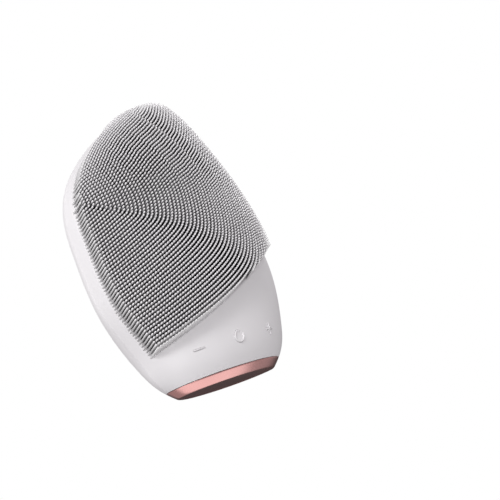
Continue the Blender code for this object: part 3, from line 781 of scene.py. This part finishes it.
def make_end_cap(coated):
    """The cap: a shallow dished foot, a rounded edge, the band and the lip under the skin."""
    foot = [(0.35, 0.3), (0.33, 0.7), (0.24, 0.85), (0.1, 0.915), (0.0, 0.94)]
    edge = [(0.0, 0.972), (0.05, 0.985), (0.16, 0.995), (0.35, 1.0)]
    band = [(z, 1.0) for z in (0.9, 1.5, 2.1, 2.6)]
    lip = [(CAP_TOP - 0.1, 0.999), (CAP_TOP, 0.993), (CAP_TOP, 0.86), (1.2, 0.84)]
    rings = [lens(z, scale) for z, scale in foot + edge + band + lip]
    cap = loft("rose_gold_cap", rings, coated, sharp=50)
    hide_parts("end_cap")


def pin_frame(side):
    """Where a charging pin meets the back, and the direction that it faces."""
    y = float(surface_y(np.array(side * PIN_X), np.array(PIN_Z), 1))
    return (side * PIN_X, y, PIN_Z), (0, math.cos(PIN_SLOPE), -math.sin(PIN_SLOPE))


def make_contacts(metal, rubber):
    """The charging pins, each in a rubber cup at the bottom of its recess."""
    for side, label in ((-1, "left"), (1, "right")):
        base, out = pin_frame(side)
        profile = [(1.1, -6.9), (1.1, -4.6), (1.5, -4.6), (1.5, -1.0), (1.44, -0.82), (1.28, -0.7),
                   (0.9, -0.6), (0.4, -0.56)]
        pin = loft("contact_" + label, turned_rings(profile, base, out), metal)
        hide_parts("contact_pin_" + label)
        loop = [(1.56, -2.4), (2.5, -2.4), (2.5, -1.35), (2.42, -1.2), (1.62, -1.15), (1.56, -1.25)]
        rings = np.array(turned_rings(loop + loop[:1], base, out))
        faces = grid_faces(*rings.shape[:2], closed=True)
        seal = new_mesh("contact_cup_" + label, rings.reshape(-1, 3), faces, rubber)
        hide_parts("contact_seal_" + label)


# ================= stage =================
def floor_material():
    """Pale and matt from above, clear from underneath."""
    made = bpy.data.materials.new("floor")
    made.use_nodes = True
    nodes, links = made.node_tree.nodes, made.node_tree.links
    pale = nodes["Principled BSDF"]
    pale.inputs["Base Color"].default_value = (0.86, 0.86, 0.87, 1)
    pale.inputs["Roughness"].default_value = 0.9
    clear = nodes.new("ShaderNodeBsdfTransparent")
    mix = nodes.new("ShaderNodeMixShader")
    facing = nodes.new("ShaderNodeNewGeometry")
    links.new(facing.outputs["Backfacing"], mix.inputs["Fac"])
    links.new(pale.outputs["BSDF"], mix.inputs[1])
    links.new(clear.outputs["BSDF"], mix.inputs[2])
    links.new(mix.outputs["Shader"], nodes["Material Output"].inputs["Surface"])
    return made


def make_floor():
    """A pale floor that the view from below sees through, and that sends no light back to the object."""
    corners = [(x * FLOOR_SIZE, y * FLOOR_SIZE, 0) for x, y in ((-1, -1), (1, -1), (1, 1), (-1, 1))]
    mesh = bpy.data.meshes.new("floor")
    mesh.from_pydata(corners, [], [(0, 1, 2, 3)])
    floor = new_object("floor", mesh)
    floor.location = (0, 0, -FLOOR_GAP)
    mesh.materials.append(floor_material())
    floor.visible_diffuse = False
    floor.visible_glossy = False
    floor.visible_shadow = False


def flag_strength(nodes, links):
    """The surroundings' brightness, which falls off towards the flag."""
    direction = nodes.new("ShaderNodeTexCoord")
    toward_flag = nodes.new("ShaderNodeVectorMath")
    toward_flag.operation = "DOT_PRODUCT"
    toward_flag.inputs[1].default_value = Vector(FLAG_DIRECTION).normalized()
    links.new(direction.outputs["Generated"], toward_flag.inputs[0])
    ramp = nodes.new("ShaderNodeMapRange")
    ramp.interpolation_type = "SMOOTHSTEP"
    ramp.inputs["From Min"].default_value, ramp.inputs["From Max"].default_value = FLAG_EDGE
    ramp.inputs["To Min"].default_value = WORLD_LIGHT
    ramp.inputs["To Max"].default_value = FLAG_LIGHT
    links.new(toward_flag.outputs["Value"], ramp.inputs["Value"])
    return ramp.outputs["Result"]


def make_world():
    """White background for the camera, and softer light all round with a dark flag behind and low down."""
    world = bpy.data.worlds.new("studio")
    bpy.context.scene.world = world
    world.use_nodes = True
    nodes, links = world.node_tree.nodes, world.node_tree.links
    light = nodes["Background"]
    light.inputs["Color"].default_value = (1.0, 0.965, 0.985, 1)
    links.new(flag_strength(nodes, links), light.inputs["Strength"])
    shown = nodes.new("ShaderNodeBackground")
    shown.inputs["Color"].default_value = (1, 1, 1, 1)
    mix = nodes.new("ShaderNodeMixShader")
    path = nodes.new("ShaderNodeLightPath")
    links.new(path.outputs["Is Camera Ray"], mix.inputs["Fac"])
    links.new(light.outputs["Background"], mix.inputs[1])
    links.new(shown.outputs["Background"], mix.inputs[2])
    links.new(mix.outputs["Shader"], nodes["World Output"].inputs["Surface"])


def area_light(name, place, size, power):
    """A rectangular light aimed at the middle of the object."""
    data = bpy.data.lights.new(name, "AREA")
    data.shape = "RECTANGLE"
    data.size, data.size_y = size
    data.energy = power
    lamp = new_object(name, data)
    lamp.location = place
    lamp.rotation_euler = (Vector(OBJECT_MIDDLE) - Vector(place)).to_track_quat("-Z", "Y").to_euler()
    return lamp


def make_lights():
    area_light("key", (-0.85, -0.6, 0.8), (0.4, 0.4), 7.4)
    area_light("front", (-0.45, -0.85, -0.1), (0.5, 0.4), 1.9)
    gleam = area_light("gleam", (0.05, -0.3, -0.9), (1.7, 0.8), 4.5)
    gleam.visible_diffuse = False       # it shows in reflections only, as the gleam on the cap
    area_light("back", (1.0, 0.35, 0.9), (0.4, 0.4), 11.0)
    area_light("fill", (-0.6, 0.9, 0.3), (0.6, 0.6), 4.5)


def make_camera():
    """From the left of the bristle side and from a little below, tilted."""
    yaw, pitch, roll = [math.radians(a) for a in (CAMERA_YAW, CAMERA_PITCH, CAMERA_ROLL)]
    back = Vector((math.sin(yaw) * math.cos(pitch), -math.cos(yaw) * math.cos(pitch), math.sin(pitch)))
    level = Vector((math.cos(yaw), math.sin(yaw), 0))
    up = back.cross(level)
    right = math.cos(roll) * level - math.sin(roll) * up
    over = math.sin(roll) * level + math.cos(roll) * up
    data = bpy.data.cameras.new("camera")
    data.sensor_width = CAMERA_SENSOR
    data.lens = CAMERA_LENS
    data.clip_start = 0.01
    camera = new_object("camera", data)
    rotation = Matrix((right, over, back)).transposed().to_4x4()
    camera.matrix_world = Matrix.Translation(CAMERA_PLACE) @ rotation
    bpy.context.scene.camera = camera


def main():
    """Set the stage, then make the pieces that take the place of plain CAD nodes."""
    bpy.context.scene.view_settings.view_transform = "Standard"
    make_camera()
    make_world()
    make_lights()
    make_floor()
    finish_cad_nodes()
    silicone = skin_material()
    make_front_skin(silicone)
    make_back_skin(silicone)
    make_bristles(bristle_material())
    make_symbols(silicone)
    make_end_cap(cap_material())
    make_contacts(contact_material(), seal_material())


main()
